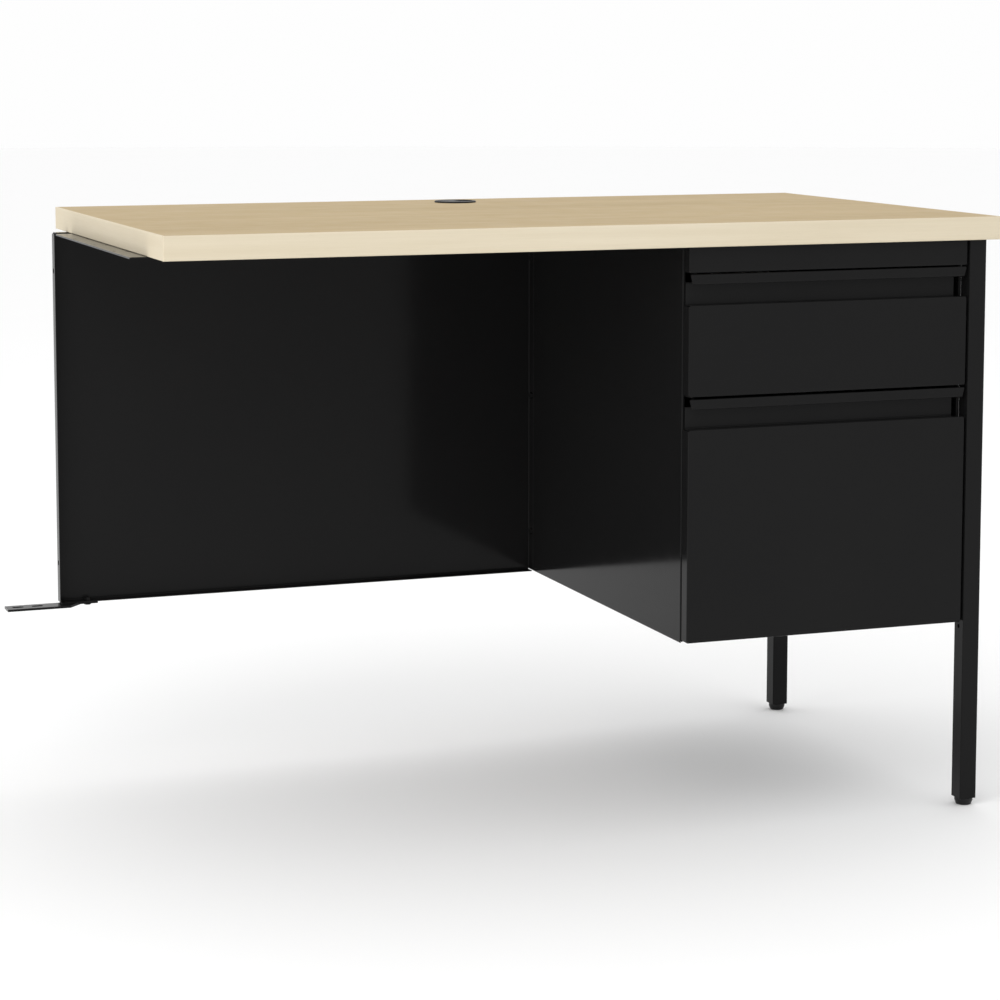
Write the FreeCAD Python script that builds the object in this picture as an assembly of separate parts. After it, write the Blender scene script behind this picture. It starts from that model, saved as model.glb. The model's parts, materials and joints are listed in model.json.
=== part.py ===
import FreeCAD, Part
import math
import os

# Return unit of an L-shaped office or teacher desk, in millimetres.
# A laminate work surface stands on a steel drawer pedestal and a leg frame at its right end. A sheet steel
# modesty panel closes the back. The left end has no legs: it is fastened to the main desk with a splice plate
# under the top and a slotted tie bar below the modesty panel.
# Shapes are drawn from the corner on the floor below the top's front left corner (X right, Y back, Z up),
# and stored with the origin on the floor at the centre of the whole unit's footprint.

# ---- driving dimensions ----
TOP_LENGTH = 1066.8
TOP_DEPTH = 609.6
TOP_THICKNESS = 28.6
DESK_HEIGHT = 749.3
LAMINATE = 0.8
BACKER = 0.6
EDGE_BAND = 2.0
UNDERSIDE = DESK_HEIGHT - TOP_THICKNESS

SHEET = 1.0
BEND = 0.8
BEND_RELIEF = SHEET + BEND
BOTTOM_LEVEL = 234.6

PEDESTAL_WIDTH = 381.0
PEDESTAL_LEFT = 644.6
PEDESTAL_RIGHT = PEDESTAL_LEFT + PEDESTAL_WIDTH
PEDESTAL_FRONT = 27.4
PEDESTAL_REAR = 566.0
PEDESTAL_MIDDLE = (PEDESTAL_LEFT + PEDESTAL_RIGHT) / 2
HEM_WIDTH = 4.0
HEM_DEPTH = 10.0
HEM_BEND = 0.45
SIDE_FLANGE = 20.0
REAR_FLANGE = 15.0
CASE_CLEARANCE = 2.0
BRACE_FRONTS = {"front": 48.0, "rear": 500.0}
BRACE_WIDTH = 45.0
BRACE_HEIGHT = 7.0

LEG_SIZE = 23.0
LEG_WALL = 1.5
LEG_BOTTOM = 9.0
LEG_FRONTS = {"front": 6.6, "rear": 545.2}
LEG_LEFT = PEDESTAL_RIGHT
LEG_RIGHT = LEG_LEFT + LEG_SIZE
LEG_CENTRE = LEG_LEFT + LEG_SIZE / 2
LEG_CORNER = 1.6
LEG_HOLE_RADIUS = 2.6
LEG_HOLE_LEVEL = 230.5
RAIL_LEVELS = {"top": UNDERSIDE - LEG_SIZE, "lower": 262.0}

FRONT_PLANE = 8.4
FRONT_DEPTH = 16.0
FRONT_REAR = FRONT_PLANE + FRONT_DEPTH
FRONT_LEFT = PEDESTAL_LEFT + 0.4
FRONT_RIGHT = LEG_LEFT - 2.5
LIP_HEIGHT = 12.4
LIP_FLANGE = 5.0
LIP_TAPER = 3.0
PULL_END_TRIM = 11.0

SLIDE_LENGTH = 490.0
SLIDE_HEIGHT = 45.4
SLIDE_THICKNESS = 13.0
OUTER_SHEET = 1.2
INNER_SHEET = 1.1
OUTER_WIDTH = 10.4
MIDDLE_START = 3.4
MIDDLE_END = 10.8
MIDDLE_HALF_HEIGHT = 17.4
INNER_EDGE = 6.0
INNER_HALF_HEIGHT = 12.2
CAGE_LENGTH = 220.0
SLIDE_START = 41.0
BODY_DEPTH = 510.0
BODY_REAR = FRONT_REAR + BODY_DEPTH
BODY_SHEET = 0.8
HANGING_RAIL_OFFSET = 157.0
BODY_LEFT = PEDESTAL_LEFT + SHEET + SLIDE_THICKNESS
BODY_RIGHT = PEDESTAL_RIGHT - SHEET - SLIDE_THICKNESS

# Each drawer: bottom and top of its face, height of its finger recess, bottom and top of its body,
# and the level of its slides' middle line.
DRAWERS = {
    "box": {"face": (539.0, 650.2), "recess": 24.9, "body": (546.0, 664.0), "slide": 592.0},
    "file": {"face": (237.8, 499.3), "recess": 24.5, "body": (246.0, 508.0), "slide": 330.0},
}
RAIL_BOTTOM = 689.2
# Plan of a front panel: its face between two short returns towards the case.
FRONT_PLAN = [
    (FRONT_LEFT, FRONT_REAR), (FRONT_LEFT, FRONT_PLANE),
    (FRONT_RIGHT, FRONT_PLANE), (FRONT_RIGHT, FRONT_REAR),
]

MODESTY_REAR = 542.4
MODESTY_FLANGE = 16.0
MODESTY_LEFT = -18.5
MODESTY_SHEET = 0.9
MODESTY_RELIEF = 1.8
MODESTY_HOLE_LEVELS = (287.5, 670.6)
MODESTY_HOLE_RADIUS = 3.5
MODESTY_BOLT_LEVELS = (290.0, 480.0, 670.0)
FLANGE_BOLT_INSET = 8.0
SMALL_HEX = 8.0
BOLT_HEAD_HEIGHT = 1.6
NUT_HEIGHT = 3.0
BOLT_END = 3.8

GROMMET_X = TOP_LENGTH / 2
GROMMET_Y = 536.0
GROMMET_HOLE_RADIUS = 25.4
GROMMET_FLANGE_RADIUS = 28.2
GROMMET_REBATE_RADIUS = 28.4
GROMMET_BORE_RADIUS = 22.6
GROMMET_SLOT_WIDTH = 22.0
GROMMET_SLOT_CENTRE = 12.0

TIE_BAR_REACH = 90.0
TIE_BAR_THICKNESS = 3.0
TIE_BAR_BOLT = (19.4, 534.4)
TIE_BAR_SLOTS = (-74.8, -49.4)
TIE_BAR_SLOT_Y = 522.5
SLOT_LENGTH = 15.0
SLOT_WIDTH = 7.0

SPLICE_LEFT = -21.0
SPLICE_RIGHT = 42.0
SPLICE_FRONT = 76.0
SPLICE_REAR = 502.0
SPLICE_THICKNESS = 2.0
SPLICE_HOLE_RADIUS = 2.2
SPLICE_ROWS = {-16.5: 178.0, -3.0: 169.0}
SPLICE_HOLE_PITCH = 112.0
SPLICE_HOLES_PER_ROW = 3

GLIDE_RADIUS = 11.5
GLIDE_HEIGHT = 8.7
GLIDE_STEM_RADIUS = 4.0
INSERT_BORE_RADIUS = 4.08
INSERT_LENGTH = 22.0

WOOD_SCREW_RADIUS = 2.0
WOOD_SCREW_LENGTH = 18.0
PEDESTAL_SCREW_DEPTHS = (90.0, 290.0, 490.0)
MODESTY_SCREW_PLACES = (120.0, 330.0, 600.0)
SPLICE_SCREW_DEPTHS = (110.0, 230.0, 350.0, 470.0)
TOP_RAIL_SCREW_PLACES = (720.0, 950.0)
BOLT_RADIUS = 3.0

ORIGIN = FreeCAD.Vector((TOP_LENGTH - TIE_BAR_REACH) / 2, TOP_DEPTH / 2, 0)
X_AXIS = FreeCAD.Vector(1, 0, 0)
Y_AXIS = FreeCAD.Vector(0, 1, 0)
Z_AXIS = FreeCAD.Vector(0, 0, 1)


# ---- helpers ----
def save(node, solids):
    """Writes one node from a solid or a list of solids."""
    pieces = solids if isinstance(solids, list) else [solids]
    shape = pieces[0] if len(pieces) == 1 else Part.makeCompound(pieces)
    shape = shape.copy()
    shape.translate(-ORIGIN)
    shape.exportStep("parts/" + node + ".step")


def box(x_span, y_span, z_span):
    """A block between three pairs of limits."""
    size = [abs(high - low) for low, high in (x_span, y_span, z_span)]
    corner = FreeCAD.Vector(min(x_span), min(y_span), min(z_span))
    return Part.makeBox(size[0], size[1], size[2], corner)


def rod(radius, start, end):
    """A round bar between two points."""
    start = FreeCAD.Vector(*start)
    along = FreeCAD.Vector(*end) - start
    return Part.makeCylinder(radius, along.Length, start, along)


def join(shapes):
    """One solid made of touching or crossing shapes."""
    return shapes[0].fuse(shapes[1:]).removeSplitter().Solids[0]


def mirrored(shape):
    """The same shape on the other side of the pedestal's middle plane."""
    return shape.mirror(FreeCAD.Vector(PEDESTAL_MIDDLE, 0, 0), X_AXIS)


def round_edges(shape, radius, wanted):
    """Rounds the edges whose ends both satisfy a test."""
    edges = [edge for edge in shape.Edges if all(wanted(vertex.Point) for vertex in edge.Vertexes)]
    return shape.makeFillet(radius, edges)


def along(axis, level):
    """A function that lifts a 2D point onto the plane across an axis at a level."""
    if axis == "x":
        return lambda u, v: FreeCAD.Vector(level, u, v)
    if axis == "y":
        return lambda u, v: FreeCAD.Vector(u, level, v)
    return lambda u, v: FreeCAD.Vector(u, v, level)


def offset_corner(before, corner, after, distance):
    """The corner of a line drawn beside a right-angled path, at a distance to the path's left."""
    first = unit(before, corner)
    second = unit(corner, after)
    shift_u = -(first[1] + second[1]) * distance
    shift_v = (first[0] + second[0]) * distance
    return corner[0] + shift_u, corner[1] + shift_v


def unit(start, end):
    length = math.hypot(end[0] - start[0], end[1] - start[1])
    return (end[0] - start[0]) / length, (end[1] - start[1]) / length


def offset_end(point, direction, distance):
    return point[0] - direction[1] * distance, point[1] + direction[0] * distance


def rounded_line(points, radii, lift):
    """Edges along a path, with an arc of the given radius at each inner point."""
    edges = []
    start = points[0]
    for index in range(1, len(points) - 1):
        corner = points[index]
        into = unit(points[index - 1], corner)
        out = unit(corner, points[index + 1])
        radius = radii[index - 1]
        arc_start = (corner[0] - into[0] * radius, corner[1] - into[1] * radius)
        arc_end = (corner[0] + out[0] * radius, corner[1] + out[1] * radius)
        bulge = radius * (1 - math.sqrt(0.5))
        arc_middle = (corner[0] + (out[0] - into[0]) * bulge, corner[1] + (out[1] - into[1]) * bulge)
        edges.append(Part.LineSegment(lift(*start), lift(*arc_start)).toShape())
        edges.append(Part.Arc(lift(*arc_start), lift(*arc_middle), lift(*arc_end)).toShape())
        start = arc_end
    edges.append(Part.LineSegment(lift(*start), lift(*points[-1])).toShape())
    return edges


def bent_sheet(path, side, axis, span, thickness=SHEET, bend=BEND):
    """Sheet steel folded along a right-angled path and extruded along an axis between two levels.

    The path is one surface of the sheet. The sheet lies to its left (side 1) or right (side -1).
    """
    distance = thickness * side
    first = unit(path[0], path[1])
    last = unit(path[-2], path[-1])
    beside = [offset_end(path[0], first, distance)]
    near_radii = []
    far_radii = []
    for index in range(1, len(path) - 1):
        before, corner, after = path[index - 1:index + 2]
        beside.append(offset_corner(before, corner, after, distance))
        into, out = unit(before, corner), unit(corner, after)
        turns_left = into[0] * out[1] - into[1] * out[0] > 0
        outer = turns_left == (side > 0)
        near_radii.append(bend + thickness if outer else bend)
        far_radii.append(bend if outer else bend + thickness)
    beside.append(offset_end(path[-1], last, distance))
    lift = along(axis, span[0])
    edges = rounded_line(path, near_radii, lift)
    edges.append(Part.LineSegment(lift(*path[-1]), lift(*beside[-1])).toShape())
    edges += rounded_line(beside[::-1], far_radii[::-1], lift)
    edges.append(Part.LineSegment(lift(*beside[0]), lift(*path[0])).toShape())
    face = Part.Face(Part.Wire(Part.__sortEdges__(edges)))
    direction = {"x": X_AXIS, "y": Y_AXIS, "z": Z_AXIS}[axis]
    return face.extrude(direction * (span[1] - span[0]))


def square_tube(x_span, y_span, z_span, axis):
    """A square tube with rounded long edges and open ends."""
    spans = {"x": x_span, "y": y_span, "z": z_span}
    outside = box(x_span, y_span, z_span)
    long_edges = [edge for edge in outside.Edges if edge.Length > LEG_SIZE + 1]
    outside = outside.makeFillet(LEG_CORNER, long_edges)
    inner = {key: (low + LEG_WALL, high - LEG_WALL) for key, (low, high) in spans.items()}
    inner[axis] = spans[axis]
    return outside.cut(box(inner["x"], inner["y"], inner["z"]))


def wood_screw(x, y, seat):
    """A pan-head screw driven up from below, with its head's face on the seat level."""
    head = Part.makeCone(3.2, 4.0, 2.4, FreeCAD.Vector(x, y, seat - 2.4), Z_AXIS)
    shank = rod(WOOD_SCREW_RADIUS, (x, y, seat), (x, y, seat + WOOD_SCREW_LENGTH))
    return join([head, shank])


def hex_head(centre, direction, height, across):
    """A six-sided bolt head or nut that stands on a centre point."""
    radius = across / math.sqrt(3)
    side = X_AXIS if abs(direction.x) < 0.5 else Z_AXIS
    second = direction.cross(side)
    corners = []
    for step in range(7):
        angle = math.radians(60 * step)
        corners.append(centre + side * (radius * math.cos(angle)) + second * (radius * math.sin(angle)))
    return Part.Face(Part.makePolygon(corners)).extrude(direction * height)


def bolt_and_nut(start, direction, grip):
    """A hexagon bolt through a grip of sheet metal, with its nut on the far side."""
    start = FreeCAD.Vector(*start)
    direction = FreeCAD.Vector(*direction)
    head = hex_head(start - direction * BOLT_HEAD_HEIGHT, direction, BOLT_HEAD_HEIGHT, SMALL_HEX)
    shank = Part.makeCylinder(BOLT_RADIUS, grip + BOLT_END, start, direction)
    nut = hex_head(start + direction * grip, direction, NUT_HEIGHT, SMALL_HEX)
    return join([head, shank]), nut.cut(shank)


# ---- work surface ----
def top_screw_places():
    """Where wood screws rise into the core, with the level of each seat."""
    flange_left = PEDESTAL_LEFT + 12.0
    flange_right = PEDESTAL_RIGHT - 12.0
    places = []
    for y in PEDESTAL_SCREW_DEPTHS:
        places.append((flange_left, y, UNDERSIDE - SHEET))
        places.append((flange_right, y, UNDERSIDE - SHEET))
    for x in MODESTY_SCREW_PLACES:
        places.append((x, MODESTY_REAR - 8.5, UNDERSIDE - MODESTY_SHEET))
    for y in SPLICE_SCREW_DEPTHS:
        places.append((25.0, y, UNDERSIDE - SPLICE_THICKNESS))
    for x in TOP_RAIL_SCREW_PLACES:
        places.append((x, 48.0, UNDERSIDE - SHEET))
    return places


def work_surface(screws):
    """Particle board core, laminate above with a rebate for the grommet's flange, and backer sheet below."""
    x_span = (EDGE_BAND, TOP_LENGTH - EDGE_BAND)
    y_span = (EDGE_BAND, TOP_DEPTH - EDGE_BAND)
    below = (GROMMET_X, GROMMET_Y, UNDERSIDE - 1)
    above = (GROMMET_X, GROMMET_Y, DESK_HEIGHT + 1)
    hole = rod(GROMMET_HOLE_RADIUS, below, above)
    rebate = rod(GROMMET_REBATE_RADIUS, below, above)
    core = box(x_span, y_span, (UNDERSIDE + BACKER, DESK_HEIGHT - LAMINATE)).cut(hole)
    backer = box(x_span, y_span, (UNDERSIDE, UNDERSIDE + BACKER)).cut(hole)
    for screw in screws:
        core = core.cut(screw)
        backer = backer.cut(screw)
    save("core_board", core)
    save("backer_sheet", backer)
    save("top_laminate", box(x_span, y_span, (DESK_HEIGHT - LAMINATE, DESK_HEIGHT)).cut(rebate))


def edge_bands():
    """Long bands run the full length, short bands fit between them. Outer corners are slightly rounded."""
    z_span = (UNDERSIDE, DESK_HEIGHT)
    front = box((0, TOP_LENGTH), (0, EDGE_BAND), z_span)
    front = round_edges(front, 1.2, lambda point: point.y < 0.1)
    save("front_edge_band", front)
    back = box((0, TOP_LENGTH), (TOP_DEPTH - EDGE_BAND, TOP_DEPTH), z_span)
    back = round_edges(back, 1.2, lambda point: point.y > TOP_DEPTH - 0.1)
    save("back_edge_band", back)
    between = (EDGE_BAND, TOP_DEPTH - EDGE_BAND)
    for name, outer, inner in (("left", 0, EDGE_BAND), ("right", TOP_LENGTH, TOP_LENGTH - EDGE_BAND)):
        band = box((outer, inner), between, z_span)
        long_edges = [edge for edge in band.Edges if edge.Length > TOP_DEPTH / 2]
        outside = [edge for edge in long_edges if abs(edge.Vertexes[0].Point.x - outer) < 0.1]
        save(name + "_edge_band", band.makeFillet(1.2, outside))


def grommet():
    """Cable outlet: a flanged liner pressed into the top, and a cap that turns in it."""
    centre = FreeCAD.Vector(GROMMET_X, GROMMET_Y, 0)
    bore = GROMMET_BORE_RADIUS

    def ring(outer, inner, low, high):
        outside = Part.makeCylinder(outer, high - low, centre + Z_AXIS * low, Z_AXIS)
        return outside.cut(Part.makeCylinder(inner, high - low, centre + Z_AXIS * low, Z_AXIS))

    sleeve = ring(GROMMET_HOLE_RADIUS, bore + 1.0, DESK_HEIGHT - 22.0, DESK_HEIGHT)
    flange = ring(GROMMET_FLANGE_RADIUS, bore + 1.0, DESK_HEIGHT - LAMINATE, DESK_HEIGHT + 2.2)
    flange = round_edges(flange, 1.0, lambda point: point.z > DESK_HEIGHT + 2.1 and point.x > GROMMET_X + 25)
    ledge = ring(GROMMET_HOLE_RADIUS - 0.5, bore - 2.0, DESK_HEIGHT - 4.0, DESK_HEIGHT - 2.4)
    save("grommet_liner", join([sleeve, flange, ledge]))

    cap_radius = bore + 0.6
    cap = Part.makeCylinder(cap_radius, 4.1, centre + Z_AXIS * (DESK_HEIGHT - 2.0), Z_AXIS)
    skirt = ring(bore - 2.5, bore - 4.0, DESK_HEIGHT - 10.0, DESK_HEIGHT - 2.0)
    slot_end = GROMMET_X + GROMMET_SLOT_CENTRE
    half_width = GROMMET_SLOT_WIDTH / 2
    low, high = DESK_HEIGHT - 12.0, DESK_HEIGHT + 3.0
    slot = box((slot_end, GROMMET_X + 30), (GROMMET_Y - half_width, GROMMET_Y + half_width), (low, high))
    slot = slot.fuse(rod(half_width, (slot_end, GROMMET_Y, low), (slot_end, GROMMET_Y, high)))
    save("grommet_cap", join([cap, skirt]).cut(slot))


# ---- joining plates at the left end ----
def splice_plate(screws):
    """Flat plate under the top's left end. Its outer strip carries two rows of screw holes."""
    low = UNDERSIDE - SPLICE_THICKNESS
    plate = box((SPLICE_LEFT, SPLICE_RIGHT), (SPLICE_FRONT, SPLICE_REAR), (low, UNDERSIDE))
    for x, first_y in SPLICE_ROWS.items():
        for index in range(SPLICE_HOLES_PER_ROW):
            y = first_y + index * SPLICE_HOLE_PITCH
            plate = plate.cut(rod(SPLICE_HOLE_RADIUS, (x, y, low - 1), (x, y, UNDERSIDE + 1)))
    for screw in screws:
        plate = plate.cut(screw)
    save("top_splice_plate", plate)


def tie_bar():
    """Slotted bar bolted below the modesty panel's bottom flange. It reaches out to the main desk."""
    high = BOTTOM_LEVEL
    low = high - TIE_BAR_THICKNESS
    front, rear = TIE_BAR_SLOT_Y - 12.5, TIE_BAR_SLOT_Y + 12.1
    narrow_front = rear - 5.1
    narrow_rear = MODESTY_REAR - 1.5
    outline = [
        (-TIE_BAR_REACH, front), (-8.0, front), (9.0, narrow_front), (32.0, narrow_front),
        (32.0, narrow_rear), (-12.0, narrow_rear), (-19.0, rear), (-TIE_BAR_REACH, rear), (-TIE_BAR_REACH, front),
    ]
    corners = [FreeCAD.Vector(x, y, low) for x, y in outline]
    bar = Part.Face(Part.makePolygon(corners)).extrude(Z_AXIS * TIE_BAR_THICKNESS)
    half_run = (SLOT_LENGTH - SLOT_WIDTH) / 2
    for x in TIE_BAR_SLOTS:
        ends = (x - half_run, x + half_run)
        slot = box(ends, (TIE_BAR_SLOT_Y - SLOT_WIDTH / 2, TIE_BAR_SLOT_Y + SLOT_WIDTH / 2), (low, high))
        for end in ends:
            slot = slot.fuse(rod(SLOT_WIDTH / 2, (end, TIE_BAR_SLOT_Y, low), (end, TIE_BAR_SLOT_Y, high)))
        bar = bar.cut(slot)
    bolt, nut = bolt_and_nut((*TIE_BAR_BOLT, low), (0, 0, 1), TIE_BAR_THICKNESS + MODESTY_SHEET)
    save("tie_bar", bar.cut(bolt))
    save("tie_bar_bolt", bolt)
    return bolt, nut


def modesty_panel(cutters):
    """Back panel with flanges on all four sides, turned towards the front."""
    left, right = MODESTY_LEFT, PEDESTAL_LEFT
    rear, front = MODESTY_REAR, MODESTY_REAR - MODESTY_FLANGE
    relief = MODESTY_RELIEF
    plan = [(left, front), (left, rear), (right, rear), (right, front)]
    section = [(front, BOTTOM_LEVEL), (rear, BOTTOM_LEVEL), (rear, UNDERSIDE), (front, UNDERSIDE)]
    upright = bent_sheet(plan, -1, "z", (BOTTOM_LEVEL + relief, UNDERSIDE - relief), MODESTY_SHEET)
    across = bent_sheet(section, 1, "x", (left + relief, right - relief), MODESTY_SHEET)
    panel = join([upright, across])
    hole_y = MODESTY_REAR - FLANGE_BOLT_INSET
    for z in MODESTY_HOLE_LEVELS:
        panel = panel.cut(rod(MODESTY_HOLE_RADIUS, (left - 1, hole_y, z), (left + 2, hole_y, z)))
    notch_ends = (GROMMET_X - 28.0, GROMMET_X + 28.0)
    notch = box(notch_ends, (front - 1, rear - MODESTY_SHEET), (UNDERSIDE - 3, UNDERSIDE))
    panel = panel.cut(notch)
    for cutter in cutters:
        panel = panel.cut(cutter)
    save("modesty_panel", panel)


# ---- pedestal ----
def pedestal_side(left_side, cutters):
    """Side of the drawer case: a folded sheet with a hemmed front edge and inward flanges."""
    x = PEDESTAL_LEFT
    low, high = BOTTOM_LEVEL, UNDERSIDE
    relief = BEND_RELIEF
    plan = [
        (x + REAR_FLANGE, PEDESTAL_REAR), (x, PEDESTAL_REAR), (x, PEDESTAL_FRONT),
        (x + HEM_WIDTH, PEDESTAL_FRONT), (x + HEM_WIDTH, PEDESTAL_FRONT + HEM_DEPTH),
    ]
    upright = bent_sheet(plan, 1, "z", (low + relief, high - relief), SHEET, HEM_BEND)
    section = [(x + SIDE_FLANGE, low), (x, low), (x, high), (x + SIDE_FLANGE, high)]
    across = bent_sheet(section, -1, "y", (PEDESTAL_FRONT + relief, PEDESTAL_REAR - relief))
    clear_x = (x + relief, x + SIDE_FLANGE + 1)
    front_clearance = box(clear_x, (PEDESTAL_FRONT, PEDESTAL_FRONT + 20), (low, high))
    across = across.cut(front_clearance)
    side = join([upright, across])
    if not left_side:
        side = mirrored(side)
    for cutter in cutters:
        side = side.cut(cutter)
    save("pedestal_left_side" if left_side else "pedestal_right_side", side)


def pedestal_back():
    """Flat back between the side flanges, with stiffening flanges at its top and bottom."""
    left, right = PEDESTAL_LEFT + CASE_CLEARANCE, PEDESTAL_RIGHT - CASE_CLEARANCE
    rear = PEDESTAL_REAR - SHEET
    low, high = BOTTOM_LEVEL + 3.0, UNDERSIDE - 3.0
    section = [(rear - 12.0, low), (rear, low), (rear, high), (rear - 12.0, high)]
    back = bent_sheet(section, 1, "x", (left + SIDE_FLANGE, right - SIDE_FLANGE))
    wings = box((left, right), (rear - SHEET, rear), (low + 5, high - 5))
    save("pedestal_back", join([back, wings]))


def pedestal_rails(cutters):
    """Fixed rail above the drawers, and two braces that tie the sides together at the bottom."""
    top_flange_rear = 62.0
    face = bent_sheet(FRONT_PLAN, 1, "z", (RAIL_BOTTOM + BEND_RELIEF, UNDERSIDE))
    section = [
        (FRONT_REAR, RAIL_BOTTOM), (FRONT_PLANE, RAIL_BOTTOM),
        (FRONT_PLANE, UNDERSIDE), (FRONT_REAR, UNDERSIDE),
    ]
    fold = bent_sheet(section, -1, "x", (FRONT_LEFT + BEND_RELIEF, FRONT_RIGHT - BEND_RELIEF))
    fixing_ends = (PEDESTAL_LEFT + 30, PEDESTAL_RIGHT - 30)
    fixing = box(fixing_ends, (FRONT_REAR - 2, top_flange_rear), (UNDERSIDE - SHEET, UNDERSIDE))
    rail = join([face, fold, fixing])
    for cutter in cutters:
        rail = rail.cut(cutter)
    save("pedestal_top_rail", rail)
    inside = (PEDESTAL_LEFT + CASE_CLEARANCE, PEDESTAL_RIGHT - CASE_CLEARANCE)
    floor = BOTTOM_LEVEL + SHEET
    ridge = floor + BRACE_HEIGHT
    for name, y in BRACE_FRONTS.items():
        section = [(y, floor), (y, ridge), (y + BRACE_WIDTH, ridge), (y + BRACE_WIDTH, floor)]
        save("bottom_" + name + "_brace", bent_sheet(section, -1, "x", inside))


# ---- leg frame ----
def leg_frame(cutters):
    """Two square tube legs joined by a top rail and a lower rail beside the pedestal."""
    for name, front in LEG_FRONTS.items():
        leg = square_tube((LEG_LEFT, LEG_RIGHT), (front, front + LEG_SIZE), (LEG_BOTTOM, UNDERSIDE), "z")
        if name == "front":
            hole_y = front + 12.0
            hole_start = (LEG_LEFT - 1, hole_y, LEG_HOLE_LEVEL)
            leg = leg.cut(rod(LEG_HOLE_RADIUS, hole_start, (LEG_LEFT + 5, hole_y, LEG_HOLE_LEVEL)))
        save(name + "_leg", leg)
        middle = front + LEG_SIZE / 2
        half = LEG_SIZE / 2 - LEG_WALL
        plug_x = (LEG_CENTRE - half, LEG_CENTRE + half)
        plug = box(plug_x, (middle - half, middle + half), (LEG_BOTTOM, LEG_BOTTOM + INSERT_LENGTH))
        bore = rod(INSERT_BORE_RADIUS, (LEG_CENTRE, middle, LEG_BOTTOM - 1), (LEG_CENTRE, middle, 60))
        save(name + "_leg_insert", plug.cut(bore))
    span = (LEG_FRONTS["front"] + LEG_SIZE, LEG_FRONTS["rear"])
    for name, low in RAIL_LEVELS.items():
        rail = square_tube((LEG_LEFT, LEG_RIGHT), span, (low, low + LEG_SIZE), "y")
        for cutter in cutters:
            rail = rail.cut(cutter)
        save("leg_frame_" + name + "_rail", rail)


def frame_bolts():
    """Bolts that hold the pedestal's right side to the rails, driven from inside the case."""
    bolts = []
    for y in (100.0, 480.0):
        for z in (RAIL_LEVELS["lower"] + LEG_SIZE / 2, UNDERSIDE - 14.0):
            start = FreeCAD.Vector(PEDESTAL_RIGHT - SHEET, y, z)
            head = hex_head(start - X_AXIS * 3.0, X_AXIS, 3.0, SMALL_HEX)
            bolts.append(join([head, Part.makeCylinder(BOLT_RADIUS, 10.0, start, X_AXIS)]))
    save("leg_frame_bolts", bolts)
    return bolts


def modesty_bolts():
    """Bolts through the modesty panel's right flange and the pedestal's left side."""
    bolts = []
    nuts = []
    for z in MODESTY_BOLT_LEVELS:
        head_seat = (PEDESTAL_LEFT - MODESTY_SHEET, MODESTY_REAR - FLANGE_BOLT_INSET, z)
        bolt, nut = bolt_and_nut(head_seat, (1, 0, 0), MODESTY_SHEET + SHEET)
        bolts.append(bolt)
        nuts.append(nut)
    save("modesty_bolts", bolts)
    return bolts, nuts


def levelling_glide(name, front):
    """Plastic-footed glide on a threaded stem that screws up into the leg's insert."""
    centre = FreeCAD.Vector(LEG_CENTRE, front + LEG_SIZE / 2, 0)
    foot = Part.makeCylinder(GLIDE_RADIUS, GLIDE_HEIGHT, centre, Z_AXIS)
    foot = foot.makeFillet(1.5, [edge for edge in foot.Edges if edge.Closed])
    stem_top = LEG_BOTTOM + INSERT_LENGTH + 8.0
    stem = Part.makeCylinder(GLIDE_STEM_RADIUS, stem_top - 3.0, centre + Z_AXIS * 3.0, Z_AXIS)
    save(name + "_glide", join([foot, stem]))


# ---- drawers ----
def drawer_front(name, drawer):
    """One folded sheet: face, finger recess and pull lip, with short returns at both ends.

    The recess is open at its right end, and behind the lip at its left end.
    """
    low, high = drawer["face"]
    lip_bottom = high + drawer["recess"]
    lip_top = lip_bottom + LIP_HEIGHT
    wall = FRONT_REAR - SHEET
    lip_back = FRONT_PLANE + SHEET
    section = [
        (FRONT_REAR, low), (FRONT_PLANE, low), (FRONT_PLANE, high), (wall, high), (wall, lip_top - SHEET),
        (lip_back, lip_top - SHEET), (lip_back, lip_bottom + SHEET), (lip_back + LIP_FLANGE, lip_bottom + SHEET),
    ]
    left, right = FRONT_LEFT + BEND_RELIEF, FRONT_RIGHT - BEND_RELIEF
    profile = bent_sheet(section, -1, "x", (left, right))
    behind_lip = (lip_back + 1.0, FRONT_REAR + 1)
    left_trim = box((left, FRONT_LEFT + PULL_END_TRIM), behind_lip, (lip_bottom + 2.0, lip_top + 1))
    right_trim = box((FRONT_RIGHT - PULL_END_TRIM, right), behind_lip, (high - 0.9, lip_top + 1))
    profile = profile.cut([left_trim, right_trim])
    for x, inward in ((left, 1), (right, -1)):
        corners = [(x, lip_bottom - 1), (x + inward * LIP_TAPER, lip_bottom - 1), (x, lip_top - 2)]
        wedge_points = [FreeCAD.Vector(u, FRONT_PLANE - 1, v) for u, v in corners + corners[:1]]
        wedge = Part.Face(Part.makePolygon(wedge_points)).extrude(Y_AXIS * (LIP_FLANGE + 4))
        profile = profile.cut(wedge)
    returns = bent_sheet(FRONT_PLAN, 1, "z", (low + BEND_RELIEF, high - BEND_RELIEF))
    save(name + "_drawer_front", join([profile, returns]))
    closing = box((FRONT_LEFT + SHEET, FRONT_RIGHT - SHEET), (FRONT_REAR - BODY_SHEET, FRONT_REAR),
                  (low + SHEET, high - SHEET))
    save(name + "_drawer_inner_front", closing)


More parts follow.
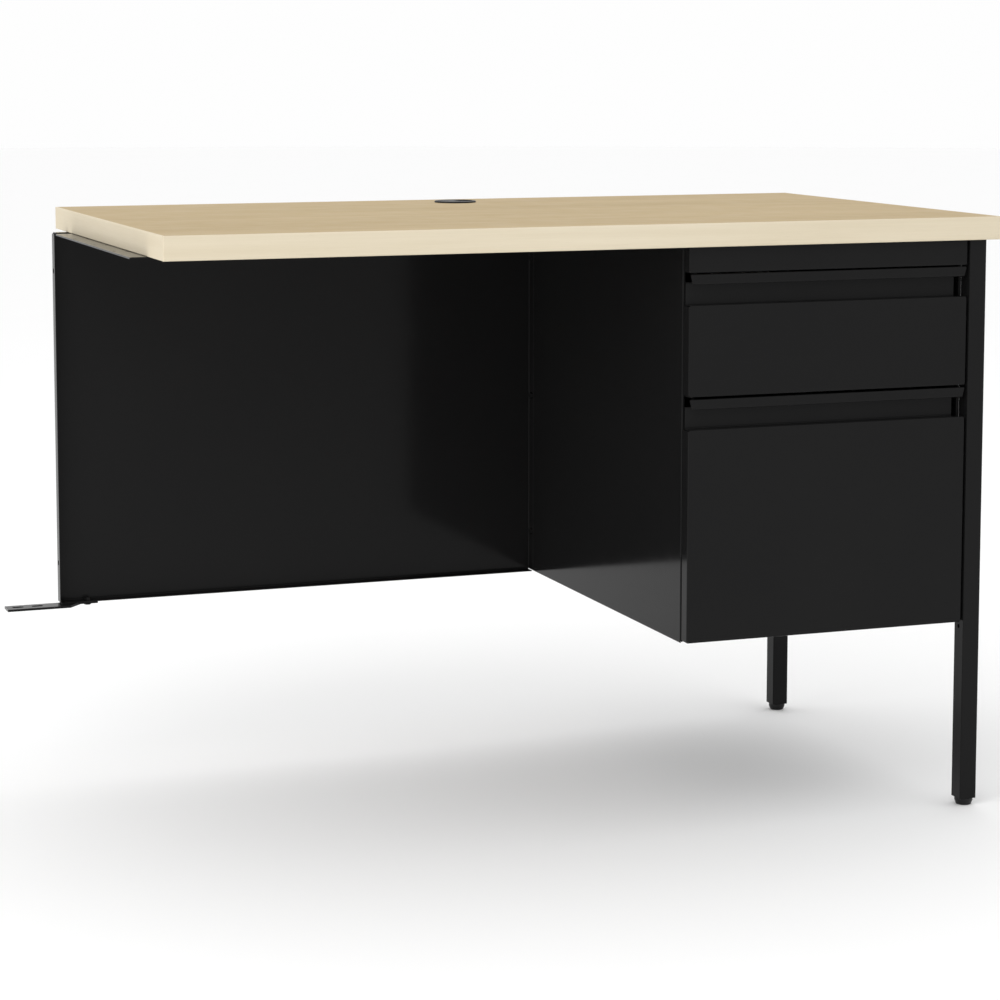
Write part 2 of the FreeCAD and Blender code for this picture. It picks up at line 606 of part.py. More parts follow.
def drawer_body(name, drawer):
    """Steel tray behind the front: two sides with rolled tops, a back and a folded bottom."""
    low, high = drawer["body"]
    section = [(BODY_LEFT, low), (BODY_LEFT, high), (BODY_LEFT + 8.0, high), (BODY_LEFT + 8.0, high - 6.0)]
    left = bent_sheet(section, -1, "y", (FRONT_REAR, BODY_REAR), BODY_SHEET)
    save(name + "_drawer_left_side", left)
    save(name + "_drawer_right_side", mirrored(left))
    inner_left, inner_right = BODY_LEFT + BODY_SHEET, BODY_RIGHT - BODY_SHEET
    back_section = [(BODY_REAR, low), (BODY_REAR, high - 7.0), (BODY_REAR - 8.0, high - 7.0)]
    save(name + "_drawer_back", bent_sheet(back_section, 1, "x", (inner_left, inner_right), BODY_SHEET))
    tray = low + 12.0
    bottom_section = [(inner_left, low + 2), (inner_left, tray), (inner_right, tray), (inner_right, low + 2)]
    bottom = bent_sheet(bottom_section, -1, "y", (FRONT_REAR, BODY_REAR - BODY_SHEET), BODY_SHEET)
    save(name + "_drawer_bottom", bottom)


def slide_member(x_web, x_edge, half_height, thickness, level, y_span):
    """One channel of a telescopic slide, open towards its edge side."""
    side = 1 if x_edge < x_web else -1
    section = [(x_edge, level + half_height), (x_web, level + half_height),
               (x_web, level - half_height), (x_edge, level - half_height)]
    return bent_sheet(section, -side, "y", y_span, thickness, 0.6)


def drawer_slides(name, drawer):
    """Left and right telescopic slides: outer, middle and inner channels with ball cages between them."""
    level = drawer["slide"]
    wall = PEDESTAL_LEFT + SHEET
    y_span = (SLIDE_START, SLIDE_START + SLIDE_LENGTH)
    middle_web, middle_edge = wall + MIDDLE_START, wall + MIDDLE_END
    outer = slide_member(wall, wall + OUTER_WIDTH, SLIDE_HEIGHT / 2, OUTER_SHEET, level, y_span)
    middle = slide_member(middle_web, middle_edge, MIDDLE_HALF_HEIGHT, INNER_SHEET, level, y_span)
    inner = slide_member(BODY_LEFT, wall + INNER_EDGE, INNER_HALF_HEIGHT, INNER_SHEET, level, y_span)
    for part, solid in (("outer", outer), ("middle", middle), ("inner", inner)):
        save(name + "_slide_" + part + "_left", solid)
        save(name + "_slide_" + part + "_right", mirrored(solid))
    gaps = {
        "outer": (wall + 7.2, (SLIDE_HEIGHT / 2 - OUTER_SHEET + MIDDLE_HALF_HEIGHT) / 2, 1.75),
        "inner": (wall + 8.6, (MIDDLE_HALF_HEIGHT - INNER_SHEET + INNER_HALF_HEIGHT) / 2, 1.7),
    }
    middle_y = SLIDE_START + SLIDE_LENGTH / 2
    for part, (x, height, radius) in gaps.items():
        left = ball_cage(x, level, height, radius, (middle_y - CAGE_LENGTH / 2, middle_y + CAGE_LENGTH / 2))
        save(name + "_slide_" + part + "_cages", left + [mirrored(solid) for solid in left])


def ball_cage(x, level, height, radius, span):
    """Upper and lower strips with steel balls set through them."""
    solids = []
    for z in (level - height, level + height):
        strip = box((x - 2.8, x + 2.2), span, (z - 0.4, z + 0.4))
        balls = []
        for step in range(5):
            y = span[0] + 12.0 + step * (span[1] - span[0] - 24.0) / 4
            balls.append(Part.makeSphere(radius, FreeCAD.Vector(x, y, z)))
        solids.append(join([strip] + balls))
    return solids


def file_hanging_rails():
    """Two flat rails from front to back that carry hanging folders."""
    high = DRAWERS["file"]["body"][1] - 14.0
    rails = []
    for x in (PEDESTAL_MIDDLE - HANGING_RAIL_OFFSET, PEDESTAL_MIDDLE + HANGING_RAIL_OFFSET):
        rails.append(box((x - 1.0, x + 1.0), (FRONT_REAR, BODY_REAR - BODY_SHEET), (high - 12.0, high)))
    save("file_hanging_rails", rails)


# ---- whole unit ----
os.makedirs("parts", exist_ok=True)
top_screws = [wood_screw(x, y, seat) for x, y, seat in top_screw_places()]
save("top_screws", top_screws)
work_surface(top_screws)
edge_bands()
grommet()
splice_plate(top_screws)
tie_bolt, tie_nut = tie_bar()
panel_bolts, panel_nuts = modesty_bolts()
save("hex_nuts", panel_nuts + [tie_nut])
modesty_panel(top_screws + panel_bolts + [tie_bolt])
rail_bolts = frame_bolts()
pedestal_side(True, top_screws + panel_bolts)
pedestal_side(False, top_screws + rail_bolts)
pedestal_back()
pedestal_rails(top_screws)
leg_frame(rail_bolts)
for leg_name, leg_front in LEG_FRONTS.items():
    levelling_glide(leg_name, leg_front)
for drawer_name, drawer_sizes in DRAWERS.items():
    drawer_front(drawer_name, drawer_sizes)
    drawer_body(drawer_name, drawer_sizes)
    drawer_slides(drawer_name, drawer_sizes)
file_hanging_rails()
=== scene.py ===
import bpy
import bmesh
import json
import math
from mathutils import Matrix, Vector


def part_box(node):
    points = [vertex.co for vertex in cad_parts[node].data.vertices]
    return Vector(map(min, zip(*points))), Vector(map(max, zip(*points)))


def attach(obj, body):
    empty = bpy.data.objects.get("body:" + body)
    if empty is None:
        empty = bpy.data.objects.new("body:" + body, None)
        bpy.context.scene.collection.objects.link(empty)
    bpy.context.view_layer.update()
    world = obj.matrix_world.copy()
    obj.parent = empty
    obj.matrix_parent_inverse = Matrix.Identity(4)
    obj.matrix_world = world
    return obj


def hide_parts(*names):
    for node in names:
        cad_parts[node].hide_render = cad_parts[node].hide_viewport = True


# Looks for the desk return: materials for the CAD nodes, moulded and turned detail pieces,
# and the floor, lights and camera around them.
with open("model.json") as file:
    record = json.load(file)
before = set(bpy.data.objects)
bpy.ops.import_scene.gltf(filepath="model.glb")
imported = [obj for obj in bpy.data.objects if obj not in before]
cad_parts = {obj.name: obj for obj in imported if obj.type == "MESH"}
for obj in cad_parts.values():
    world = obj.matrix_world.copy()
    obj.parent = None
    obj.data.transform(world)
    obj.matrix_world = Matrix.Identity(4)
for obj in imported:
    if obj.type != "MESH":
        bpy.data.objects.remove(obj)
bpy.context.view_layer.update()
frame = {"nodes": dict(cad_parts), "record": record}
scene = bpy.context.scene
MM = 0.001


# ---- camera ----
SENSOR_WIDTH = 36.0
FOCAL_LENGTH = 98.746
SHIFT_SIDEWAYS = 0.01666
SHIFT_UP = -0.15
CAMERA_PLACE = (-1.1949, -3.2872, 0.9542)
DEGREES_DOWN = 6.2291
DEGREES_TURNED = -20.001


def make_camera():
    """A long lens a little above the top, looking at the unit from its front left."""
    data = bpy.data.cameras.new("camera")
    data.sensor_width = SENSOR_WIDTH
    data.lens = FOCAL_LENGTH
    data.shift_x = SHIFT_SIDEWAYS
    data.shift_y = SHIFT_UP
    camera = bpy.data.objects.new("camera", data)
    camera.location = CAMERA_PLACE
    camera.rotation_euler = (math.radians(90.0 - DEGREES_DOWN), 0.0, math.radians(DEGREES_TURNED))
    scene.collection.objects.link(camera)
    scene.camera = camera


# ---- studio ----
FLOOR_LEVEL = -0.0004
FLOOR_RADIUS = 24.0
FLOOR_SEGMENTS = 96
FLOOR_COLOUR = (0.96, 0.96, 0.96)
FLOOR_SHADE = 0.99
HORIZON_LIGHT = 0.99
ZENITH_LIGHT = 1.03
WHITE = (1.0, 1.0, 1.0, 1.0)
SOFT_LIGHTS = [
    # name, place, aimed at, size in metres, watts
    ("key_light", (-2.2, -2.6, 3.4), (0.0, 0.0, 0.5), 2.6, 32.0),
    ("top_light", (0.6, 0.9, 3.8), (0.0, 0.0, 0.5), 3.2, 14.0),
    ("left_light", (-4.2, -1.6, 1.3), (0.0, 0.0, 0.45), 1.6, 22.0),
]


def make_floor(material):
    """A wide round floor just under the glides."""
    mesh = bpy.data.meshes.new("floor")
    shape = bmesh.new()
    bmesh.ops.create_circle(shape, cap_ends=True, segments=FLOOR_SEGMENTS, radius=FLOOR_RADIUS)
    shape.to_mesh(mesh)
    shape.free()
    floor = bpy.data.objects.new("floor", mesh)
    floor.location.z = FLOOR_LEVEL
    floor.data.materials.append(material)
    scene.collection.objects.link(floor)


def make_lights():
    """Soft square lights that the camera doesn't see."""
    for name, place, target, size, watts in SOFT_LIGHTS:
        data = bpy.data.lights.new(name, "AREA")
        data.size = size
        data.energy = watts
        light = bpy.data.objects.new(name, data)
        light.location = place
        light.visible_camera = False
        aim = Vector(target) - Vector(place)
        light.rotation_euler = aim.to_track_quat("-Z", "Y").to_euler()
        scene.collection.objects.link(light)


def make_world():
    """A plain white surround, a little brighter overhead than at the horizon."""
    world = bpy.data.worlds.new("studio")
    world.use_nodes = True
    scene.world = world
    tree = world.node_tree
    background = tree.nodes["Background"]
    background.inputs["Color"].default_value = WHITE
    spot = tree.nodes.new("ShaderNodeTexCoord")
    split = tree.nodes.new("ShaderNodeSeparateXYZ")
    level = tree.nodes.new("ShaderNodeMapRange")
    level.inputs["To Min"].default_value = HORIZON_LIGHT
    level.inputs["To Max"].default_value = ZENITH_LIGHT
    tree.links.new(spot.outputs["Generated"], split.inputs[0])
    tree.links.new(split.outputs["Z"], level.inputs["Value"])
    tree.links.new(level.outputs[0], background.inputs["Strength"])


# ---- material building ----
class Finish:
    """A node material with a short way to add nodes and link them."""

    def __init__(self, name, roughness, metallic=0.0, specular=0.5):
        self.material = bpy.data.materials.new(name)
        self.material.use_nodes = True
        self.tree = self.material.node_tree
        self.shader = self.tree.nodes["Principled BSDF"]
        self.shader.inputs["Roughness"].default_value = roughness
        self.shader.inputs["Metallic"].default_value = metallic
        self.shader.inputs["Specular IOR Level"].default_value = specular
        self.place = self.tree.nodes.new("ShaderNodeTexCoord").outputs["Object"]

    def feed(self, node, **values):
        """Sets a node's inputs by name, each to a number or to another node's output."""
        for key, value in values.items():
            socket = node.inputs[key.replace("_", " ")]
            if isinstance(value, bpy.types.NodeSocket):
                self.tree.links.new(value, socket)
            else:
                socket.default_value = value
        return node

    def stretched(self, scale):
        """Object coordinates, scaled by one number or by one for each axis."""
        factors = scale if isinstance(scale, tuple) else (scale, scale, scale)
        node = self.tree.nodes.new("ShaderNodeMapping")
        self.feed(node, Vector=self.place, Scale=factors)
        return node.outputs["Vector"]

    def noise(self, scale, detail=3.0, rough=0.55, distortion=0.0):
        """Cloudy noise from 0 to 1, with scale as the number of features in a metre."""
        node = self.tree.nodes.new("ShaderNodeTexNoise")
        vector = self.stretched(scale)
        self.feed(node, Vector=vector, Scale=1.0, Detail=detail, Roughness=rough, Distortion=distortion)
        return node.outputs["Fac"]

    def cells(self, scale):
        """A node that splits space into irregular cells, scale of them in a metre."""
        node = self.tree.nodes.new("ShaderNodeTexVoronoi")
        self.feed(node, Vector=self.stretched(scale), Scale=1.0)
        return node

    def spread(self, value, low, high, start=0.0, end=1.0):
        """A value stretched from low..high to start..end."""
        node = self.tree.nodes.new("ShaderNodeMapRange")
        self.feed(node, Value=value)
        for index, number in enumerate((low, high, start, end)):
            node.inputs[index + 1].default_value = number
        return node.outputs[0]

    def combine(self, operation, first, second):
        """Two values put together by a Math node."""
        node = self.tree.nodes.new("ShaderNodeMath")
        node.operation = operation
        for index, value in enumerate((first, second)):
            if isinstance(value, bpy.types.NodeSocket):
                self.tree.links.new(value, node.inputs[index])
            else:
                node.inputs[index].default_value = value
        return node.outputs[0]

    def blend(self, amount, first, second):
        """One colour turning into another."""
        node = self.tree.nodes.new("ShaderNodeMix")
        node.data_type = "RGBA"
        pairs = ((node.inputs["Factor"], amount), (node.inputs[6], first), (node.inputs[7], second))
        for socket, value in pairs:
            if isinstance(value, bpy.types.NodeSocket):
                self.tree.links.new(value, socket)
            elif isinstance(value, tuple):
                socket.default_value = (*value, 1.0)
            else:
                socket.default_value = value
        return node.outputs[2]

    def first_channel(self, colour):
        """The red channel of a colour, as a plain value."""
        node = self.tree.nodes.new("ShaderNodeSeparateColor")
        self.tree.links.new(colour, node.inputs[0])
        return node.outputs[0]

    def colour(self, value):
        self.tree.links.new(value, self.shader.inputs["Base Color"])

    def roughness(self, value):
        self.tree.links.new(value, self.shader.inputs["Roughness"])

    def bump(self, height, strength, distance):
        """Small relief, with distance as its full height in metres."""
        node = self.tree.nodes.new("ShaderNodeBump")
        self.feed(node, Height=height, Strength=strength, Distance=distance)
        self.tree.links.new(node.outputs[0], self.shader.inputs["Normal"])

    def edges(self, radius):
        """0 on flat faces, rising to 1 along sharp edges, where paint gets rubbed."""
        soft = self.tree.nodes.new("ShaderNodeBevel")
        soft.samples = 4
        soft.inputs["Radius"].default_value = radius
        geometry = self.tree.nodes.new("ShaderNodeNewGeometry")
        turn = self.tree.nodes.new("ShaderNodeVectorMath")
        turn.operation = "DOT_PRODUCT"
        self.tree.links.new(soft.outputs[0], turn.inputs[0])
        self.tree.links.new(geometry.outputs["True Normal"], turn.inputs[1])
        return self.spread(turn.outputs["Value"], 0.98, 0.78)


# ---- maple laminate and edge bands ----
MAPLE_LIGHT = (0.475, 0.365, 0.205)
MAPLE_DARK = (0.375, 0.275, 0.135)
EDGE_LIGHT = (0.70, 0.625, 0.485)
EDGE_DARK = (0.60, 0.52, 0.375)
BROAD_SHARE = 0.45
STREAK_SHARE = 0.40
FIBRE_SHARE = 0.15
MIDDLE_TONE = 0.5
PORE_DARKENING = 0.62
PORE_STRENGTH = 0.16
GRAIN_RELIEF = 0.00012


def maple(name, lengthwise, light, dark, contrast):
    """Printed maple: long low-contrast streaks along one axis, fine pores, satin surface."""
    finish = Finish(name, 0.56, specular=0.15)

    def grain(run, across):
        return (run, across, across) if lengthwise == "x" else (across, run, across)

    broad = finish.noise(grain(1.3, 11.0), detail=3.0, distortion=0.5)
    streaks = finish.noise(grain(3.2, 95.0), detail=5.0, rough=0.62, distortion=0.25)
    fibres = finish.noise(grain(14.0, 620.0), detail=2.0, rough=0.6)
    pores = finish.noise(grain(55.0, 1500.0), detail=1.0)
    broad_part = finish.combine("MULTIPLY", broad, BROAD_SHARE)
    streak_part = finish.combine("MULTIPLY", streaks, STREAK_SHARE)
    fibre_part = finish.combine("MULTIPLY", fibres, FIBRE_SHARE)
    tone = finish.combine("ADD", broad_part, finish.combine("ADD", streak_part, fibre_part))
    amount = finish.spread(tone, MIDDLE_TONE - contrast, MIDDLE_TONE + contrast)
    wood = finish.blend(amount, dark, light)
    fleck = finish.spread(pores, 0.66, 0.78, 0.0, PORE_STRENGTH)
    shade = tuple(channel * PORE_DARKENING for channel in dark)
    finish.colour(finish.blend(fleck, wood, shade))
    finish.roughness(finish.spread(finish.noise(24.0, detail=4.0), 0.3, 0.7, 0.52, 0.62))
    relief = finish.combine("ADD", fibres, finish.combine("MULTIPLY", pores, 0.5))
    finish.bump(relief, 0.10, GRAIN_RELIEF)
    return finish.material


# ---- black powder coat ----
PAINT_DARK = (0.0080, 0.0080, 0.0083)
PAINT_LIGHT = (0.0104, 0.0103, 0.0102)
PAINT_RUBBED = (0.055, 0.054, 0.053)
RUBBED_WIDTH = 0.0007
RUBBED_STRENGTH = 0.55
PEEL_RELIEF = 0.0001


def black_paint():
    """Semi-gloss powder coat: faint orange peel, uneven sheen, lightly rubbed edges."""
    finish = Finish("black_powder_coat", 0.15, specular=0.08)
    cloud = finish.noise(5.0, detail=4.0)
    coat = finish.blend(cloud, PAINT_DARK, PAINT_LIGHT)
    patches = finish.spread(finish.noise(90.0), 0.42, 0.62)
    worn = finish.combine("MULTIPLY", finish.edges(RUBBED_WIDTH), patches)
    rubbing = finish.combine("MULTIPLY", worn, RUBBED_STRENGTH)
    finish.colour(finish.blend(rubbing, coat, PAINT_RUBBED))
    broad_smear = finish.combine("MULTIPLY", cloud, 0.6)
    fine_smear = finish.combine("MULTIPLY", finish.noise(46.0), 0.4)
    smear = finish.combine("ADD", broad_smear, fine_smear)
    finish.roughness(finish.spread(smear, 0.3, 0.7, 0.09, 0.15))
    peel = finish.noise(520.0, detail=2.0, rough=0.5)
    finish.bump(peel, 0.02, PEEL_RELIEF)
    return finish.material


# ---- plated steel ----
SLIDE_COLOUR = (0.60, 0.61, 0.63)
ZINC_COLOUR = (0.66, 0.66, 0.64)
YELLOW_CAST = (0.98, 0.93, 0.80)
ALONG_THE_SLIDE = (1400.0, 16.0, 1400.0)
PLATING_RELIEF = 0.0001


def plated_steel(name, colour, drawn):
    """Zinc plate: fine drawing lines along the part, pale crystal patches, a slight yellow cast."""
    finish = Finish(name, 0.3, metallic=1.0)
    lines = finish.noise(ALONG_THE_SLIDE if drawn else 420.0, detail=3.0)
    spangle = finish.cells(160.0).outputs["Color"]
    patch = finish.spread(finish.noise(30.0, detail=4.0), 0.35, 0.65)
    warm = tuple(channel * shift for channel, shift in zip(colour, YELLOW_CAST))
    finish.colour(finish.blend(finish.combine("MULTIPLY", patch, 0.6), colour, warm))
    gleam = finish.combine("ADD", finish.first_channel(spangle), lines)
    finish.roughness(finish.spread(gleam, 0.2, 1.7, 0.24, 0.42))
    finish.bump(lines, 0.12, PLATING_RELIEF)
    return finish.material


# ---- plastic ----
PLASTIC_DARK = (0.006, 0.006, 0.0065)
PLASTIC_LIGHT = (0.011, 0.011, 0.011)
PLASTIC_RELIEF = 0.00012


def moulded_plastic(name, roughness, grain_size):
    """Black plastic with a fine spark-eroded grain and handled patches that shine a little more."""
    finish = Finish(name, roughness, specular=0.2)
    cloud = finish.noise(28.0, detail=3.0)
    finish.colour(finish.blend(cloud, PLASTIC_DARK, PLASTIC_LIGHT))
    finish.roughness(finish.spread(cloud, 0.35, 0.65, roughness - 0.07, roughness + 0.05))
    pits = finish.cells(grain_size).outputs["Distance"]
    finish.bump(pits, 0.16, PLASTIC_RELIEF)
    return finish.material


# ---- particle board and backer sheet ----
CHIP_DARK = (0.40, 0.26, 0.13)
CHIP_LIGHT = (0.62, 0.46, 0.27)
CHIP_GAP = (0.25, 0.15, 0.07)
CHIP_RELIEF = 0.0004
BACKER_DARK = (0.16, 0.105, 0.062)
BACKER_LIGHT = (0.23, 0.155, 0.098)
BACKER_FIBRE = (0.10, 0.062, 0.036)
BACKER_RELIEF = 0.0002


def particle_board():
    """Pressed chips, seen inside the cable hole."""
    finish = Finish("particle_board", 0.85, specular=0.2)
    chips = finish.cells((420.0, 420.0, 900.0))
    base = finish.blend(finish.first_channel(chips.outputs["Color"]), CHIP_DARK, CHIP_LIGHT)
    dust = finish.noise(1200.0, detail=3.0)
    finish.colour(finish.blend(finish.spread(dust, 0.5, 0.7, 0.0, 0.5), base, CHIP_GAP))
    finish.roughness(finish.spread(dust, 0.3, 0.7, 0.78, 0.92))
    finish.bump(finish.combine("ADD", chips.outputs["Distance"], dust), 0.5, CHIP_RELIEF)
    return finish.material


def backer_sheet():
    """Brown phenolic backing paper with fibres and rub marks."""
    finish = Finish("phenolic_backer", 0.6, specular=0.25)
    fibres = finish.noise((60.0, 340.0, 340.0), detail=4.0, distortion=0.8)
    cloud = finish.noise(7.0, detail=4.0)
    base = finish.blend(cloud, BACKER_DARK, BACKER_LIGHT)
    finish.colour(finish.blend(finish.spread(fibres, 0.45, 0.75, 0.0, 0.45), base, BACKER_FIBRE))
    finish.roughness(finish.spread(cloud, 0.3, 0.7, 0.54, 0.68))
    finish.bump(fibres, 0.15, BACKER_RELIEF)
    return finish.material


def pale_floor():
    """Seamless paper with a barely visible unevenness of tone."""
    finish = Finish("studio_floor", 0.85, specular=0.1)
    cloud = finish.noise(3.0, detail=2.0)
    shade = tuple(channel * FLOOR_SHADE for channel in FLOOR_COLOUR)
    finish.colour(finish.blend(cloud, FLOOR_COLOUR, shade))
    return finish.material


# ---- which material goes on which slot ----
MATERIALS = {
    "maple_laminate": maple("maple_laminate", "x", MAPLE_LIGHT, MAPLE_DARK, 0.17),
    "maple_edge": maple("maple_edge_long", "x", EDGE_LIGHT, EDGE_DARK, 0.20),
    "particle_board": particle_board(),
    "backer_sheet": backer_sheet(),
    "black_paint": black_paint(),
    "slide_steel": plated_steel("slide_steel", SLIDE_COLOUR, True),
    "zinc_steel": plated_steel("zinc_steel", ZINC_COLOUR, False),
    "black_plastic": moulded_plastic("grommet_plastic", 0.42, 2600.0),
    "glide_plastic": moulded_plastic("glide_nylon", 0.38, 1500.0),
}
CROSSWISE_MAPLE = maple("maple_edge_short", "y", EDGE_LIGHT, EDGE_DARK, 0.26)


def dress_cad_nodes():
    """Every CAD node takes the material of its slot. The end bands run front to back."""
    for part in frame["record"]["subparts"]:
        name = part["node"]
        node = frame["nodes"][name]
        material = MATERIALS[part["material_slot"]]
        if name in ("left_edge_band", "right_edge_band"):
            material = CROSSWISE_MAPLE
        if node.material_slots:
            for slot in node.material_slots:
                slot.material = material
        else:
            node.data.materials.append(material)


# ---- shaping detail pieces ----
def finish_piece(name, shape, body, slot, replaced, smooth_angle=35.0):
    """Makes an object of a bmesh, ties it to its body, gives it its slot's material and hides the CAD node
    that it stands for.
    """
    bmesh.ops.recalc_face_normals(shape, faces=shape.faces)
    mesh = bpy.data.meshes.new(name)
    shape.to_mesh(mesh)
    shape.free()
    piece = bpy.data.objects.new(name, mesh)
    scene.collection.objects.link(piece)
    mesh.materials.append(MATERIALS[slot])
    mesh.shade_smooth()
    mesh.set_sharp_from_angle(angle=math.radians(smooth_angle))
    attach(piece, body)
    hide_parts(replaced)


def around(centre, radius, angle, height):
    """A point at an angle around a vertical line through the centre."""
    return centre + Vector((radius * math.cos(angle), radius * math.sin(angle), height))


def skin(shape, rings):
    """Quads between each ring of points and the next."""
    for lower, upper in zip(rings, rings[1:]):
        count = len(lower)
        for step in range(count):
            after = (step + 1) % count
            shape.faces.new((lower[step], lower[after], upper[after], upper[step]))


def closed_skin(shape, rings):
    """A skin with a flat face over its first and its last ring."""
    skin(shape, rings)
    shape.faces.new(rings[0][::-1])
    shape.faces.new(rings[-1])


def turned(shape, centre, profile, segments=48):
    """Adds a body of revolution about a vertical line. The profile lists radius and height."""
    rings = []
    for radius, height in profile:
        ring = []
        for step in range(segments):
            angle = math.tau * step / segments
            ring.append(shape.verts.new(around(centre, radius, angle, height)))
        rings.append(ring)
    closed_skin(shape, rings)


def threaded(shape, centre, low, high, radius, pitch, depth, segments=20):
    """Adds a screw thread: the radius rises and falls along a helix, in five levels to a pitch."""
    rings = []
    count = int((high - low) / (pitch / 5))
    for level in range(count + 1):
        height = low + (high - low) * level / count
        ring = []
        for step in range(segments):
            turn = step / segments
            phase = (height / pitch - turn) % 1.0
            reach = radius - depth * abs(2.0 * phase - 1.0)
            ring.append(shape.verts.new(around(centre, reach, math.tau * turn, height)))
        rings.append(ring)
    closed_skin(shape, rings)


# ---- levelling glides ----
# The foot's outline from the floor up: how far inside its rim, and how high, in mm.
FOOT_OUTLINE = [
    (2.9, 0.0),
    (2.1, 0.2),
    (1.7, 0.9),
    (0.7, 3.4),
    (0.2, 4.6),
    (0.0, 5.2),
    (0.0, 7.8),
    (0.3, 8.4),
    (0.9, 8.7),
]
FOOT_TOP_RADIUS = 5.0
FOOT_TOP_HEIGHT = 8.7
STEM_START = 8.0
STEM_RADIUS = 4.0
STEM_PITCH = 1.25
STEM_THREAD_DEPTH = 0.6


def levelling_glide(end):
    """Moulded foot with a rounded rim and a flat top, on a threaded stem."""
    low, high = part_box(end + "_glide")
    centre = Vector(((low.x + high.x) / 2, (low.y + high.y) / 2, 0.0))
    rim = (high.x - low.x) / 2
    shape = bmesh.new()
    foot = [(rim - inset * MM, height * MM) for inset, height in FOOT_OUTLINE]
    foot.append((FOOT_TOP_RADIUS * MM, FOOT_TOP_HEIGHT * MM))
    turned(shape, centre, foot)
    threaded(
        shape, centre, STEM_START * MM, high.z, STEM_RADIUS * MM, STEM_PITCH * MM, STEM_THREAD_DEPTH * MM
    )
    finish_piece(end + "_glide_turned", shape, end + "_glide_foot", "glide_plastic", end + "_glide")


# ---- grommet cap ----
CAP_THICKNESS = 4.1
SLOT_HALF_WIDTH = 11.0
SLOT_START = 12.0
SKIRT_OUTER_RADIUS = 20.1
SKIRT_INNER_RADIUS = 18.6
SKIRT_CLEARANCE = 1.0
RIM_STEPS = 72
SLOT_END_STEPS = 12


def slotted_disc(centre, radius, slot_half, slot_start):
    """Outline of a disc with a round-ended slot that opens towards +X: first the rim, then the slot's end."""
    mouth = math.asin(slot_half / radius)
    points = []
    for step in range(RIM_STEPS + 1):
        angle = mouth + (math.tau - 2 * mouth) * step / RIM_STEPS
        points.append(around(centre, radius, angle, 0.0))
    for step in range(SLOT_END_STEPS + 1):
        angle = math.radians(-90.0 - 180.0 * step / SLOT_END_STEPS)
        slot_end = Vector((slot_start + slot_half * math.cos(angle), slot_half * math.sin(angle), 0.0))
        points.append(centre + slot_end)
    return points


def grommet_cap():
    """Moulded cap: rounded rim, shallow dish, cable slot and a skirt that grips the liner."""
    low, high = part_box("grommet_cap")
    radius = (high.y - low.y) / 2
    centre = Vector((low.x + radius, (low.y + high.y) / 2, 0.0))
    slot_half = SLOT_HALF_WIDTH * MM
    slot_start = SLOT_START * MM
    top = high.z
    rim_bottom = high.z - CAP_THICKNESS * MM
    # Radius and height, from the rim's lower edge up and over into the dish.
    levels = [
        (radius - 0.2 * MM, rim_bottom),
        (radius, rim_bottom + 0.3 * MM),
        (radius, top - 0.7 * MM),
        (radius - 0.2 * MM, top - 0.25 * MM),
        (radius - 0.7 * MM, top),
        (radius - 1.9 * MM, top),
        (radius - 2.3 * MM, top - 0.08 * MM),
        (radius - 2.6 * MM, top - 0.2 * MM),
    ]
    shape = bmesh.new()
    rings = []
    for reach, height in levels:
        inset = radius - reach
        outline = slotted_disc(centre, reach, slot_half + inset, slot_start)
        rings.append([shape.verts.new((point.x, point.y, height)) for point in outline])
    closed_skin(shape, rings)
    grommet_skirt(shape, centre, low.z, rim_bottom, slot_half + SKIRT_CLEARANCE * MM, slot_start)
    finish_piece("grommet_cap_moulded", shape, "grommet_cap_disc", "black_plastic", "grommet_cap", 40.0)


def grommet_skirt(shape, centre, bottom, top, slot_half, slot_start):
    """Adds a ring-shaped wall under the cap, left open where the slot is."""
    corners = (
        (SKIRT_OUTER_RADIUS, bottom),
        (SKIRT_OUTER_RADIUS, top),
        (SKIRT_INNER_RADIUS, top),
        (SKIRT_INNER_RADIUS, bottom),
    )
    skirt = []
    for reach, height in corners:
        wall = slotted_disc(centre, reach * MM, slot_half, slot_start)[:RIM_STEPS + 1]
        skirt.append([shape.verts.new((point.x, point.y, height)) for point in wall])
    for near, far in zip(skirt, skirt[1:] + skirt[:1]):
        for step in range(len(near) - 1):
            shape.faces.new((near[step], near[step + 1], far[step + 1], far[step]))
    for end in (0, -1):
        shape.faces.new([ring[end] for ring in skirt])


# ---- screws under the top ----
HEAD_RADIUS = 4.0
HEAD_HEIGHT = 2.4
HEAD_SEGMENTS = 48
DOME_HEIGHT = 0.9
DOME_POWER = 3.2
HEAD_RINGS = (0.06, 0.16, 0.28, 0.40, 0.50, 0.56, 0.70, 0.84, 0.94, 1.0)
NECK_RINGS = (1.0, 0.5)
RECESS_HALF_WIDTH = 0.55
RECESS_REACH = 2.1
RECESS_DEPTH = 1.3
SHANK_RADIUS = 2.0
SHANK_PITCH = 1.4
SHANK_THREAD_DEPTH = 0.55
SHANK_SEGMENTS = 12
SAME_POINT = 1e-6


def cross_head_screws():
    """Pan-head screws under the top, each with a cross recess and a threaded shank."""
    node = frame["nodes"]["top_screws"]
    shape = bmesh.new()
    for seat, tip in screw_seats(node):
        pan_head(shape, seat, tip)
    finish_piece("top_screws_cross_head", shape, "root", "zinc_steel", "top_screws", 50.0)


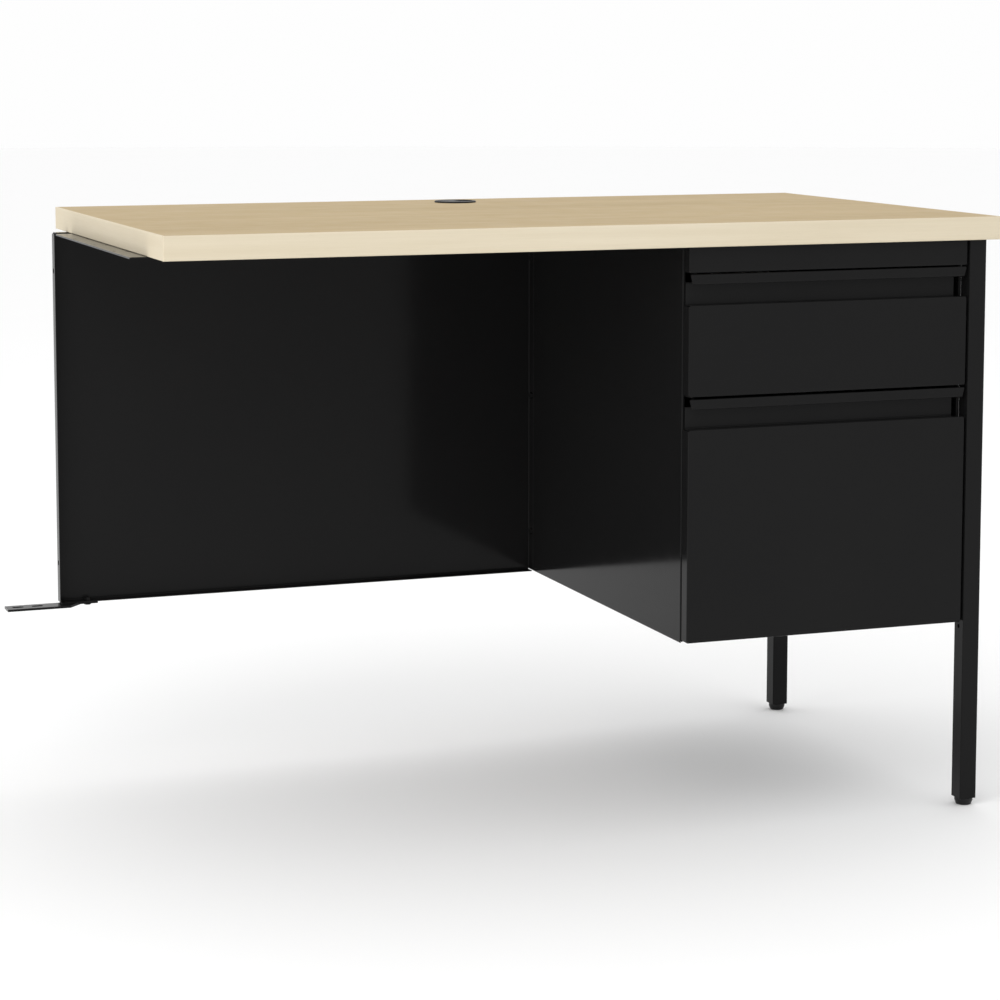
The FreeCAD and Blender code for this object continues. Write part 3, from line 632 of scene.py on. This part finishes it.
def screw_seats(node):
    """Each screw's lowest centre point and the height of its tip, from the CAD node's separate shells."""
    shape = bmesh.new()
    shape.from_mesh(node.data)
    bmesh.ops.remove_doubles(shape, verts=shape.verts, dist=SAME_POINT)
    seats = []
    seen = set()
    for start in shape.verts:
        if start in seen:
            continue
        group = []
        queue = [start]
        seen.add(start)
        while queue:
            vertex = queue.pop()
            group.append(vertex.co.copy())
            for edge in vertex.link_edges:
                other = edge.other_vert(vertex)
                if other not in seen:
                    seen.add(other)
                    queue.append(other)
        xs = [point.x for point in group]
        ys = [point.y for point in group]
        zs = [point.z for point in group]
        seat = Vector(((min(xs) + max(xs)) / 2, (min(ys) + max(ys)) / 2, min(zs)))
        seats.append((seat, max(zs)))
    shape.free()
    return seats


def pan_head(shape, centre, tip):
    """Adds one screw, head down: a domed head with a cross sunk into it, a flat back and the shank."""
    rings = []
    for reach in HEAD_RINGS:
        ring = []
        for step in range(HEAD_SEGMENTS):
            angle = math.tau * step / HEAD_SEGMENTS
            x = reach * (HEAD_RADIUS * MM) * math.cos(angle)
            y = reach * (HEAD_RADIUS * MM) * math.sin(angle)
            dome = DOME_HEIGHT * MM * reach ** DOME_POWER
            narrow = min(abs(x), abs(y)) < RECESS_HALF_WIDTH * MM
            near = max(abs(x), abs(y)) < RECESS_REACH * MM
            sunk = RECESS_DEPTH * MM if narrow and near else 0.0
            ring.append(shape.verts.new(centre + Vector((x, y, dome + sunk))))
        rings.append(ring)
    for reach in NECK_RINGS:
        ring = []
        for step in range(HEAD_SEGMENTS):
            angle = math.tau * step / HEAD_SEGMENTS
            ring.append(shape.verts.new(around(centre, reach * (HEAD_RADIUS * MM), angle, HEAD_HEIGHT * MM)))
        rings.append(ring)
    closed_skin(shape, rings)
    threaded(
        shape, centre, HEAD_HEIGHT * MM, tip - centre.z,
        SHANK_RADIUS * MM, SHANK_PITCH * MM, SHANK_THREAD_DEPTH * MM, SHANK_SEGMENTS,
    )


# ---- the whole scene ----
make_camera()
make_world()
make_lights()
make_floor(pale_floor())
scene.view_settings.view_transform = "Standard"
dress_cad_nodes()
for glide_end in ("front", "rear"):
    levelling_glide(glide_end)
grommet_cap()
cross_head_screws()
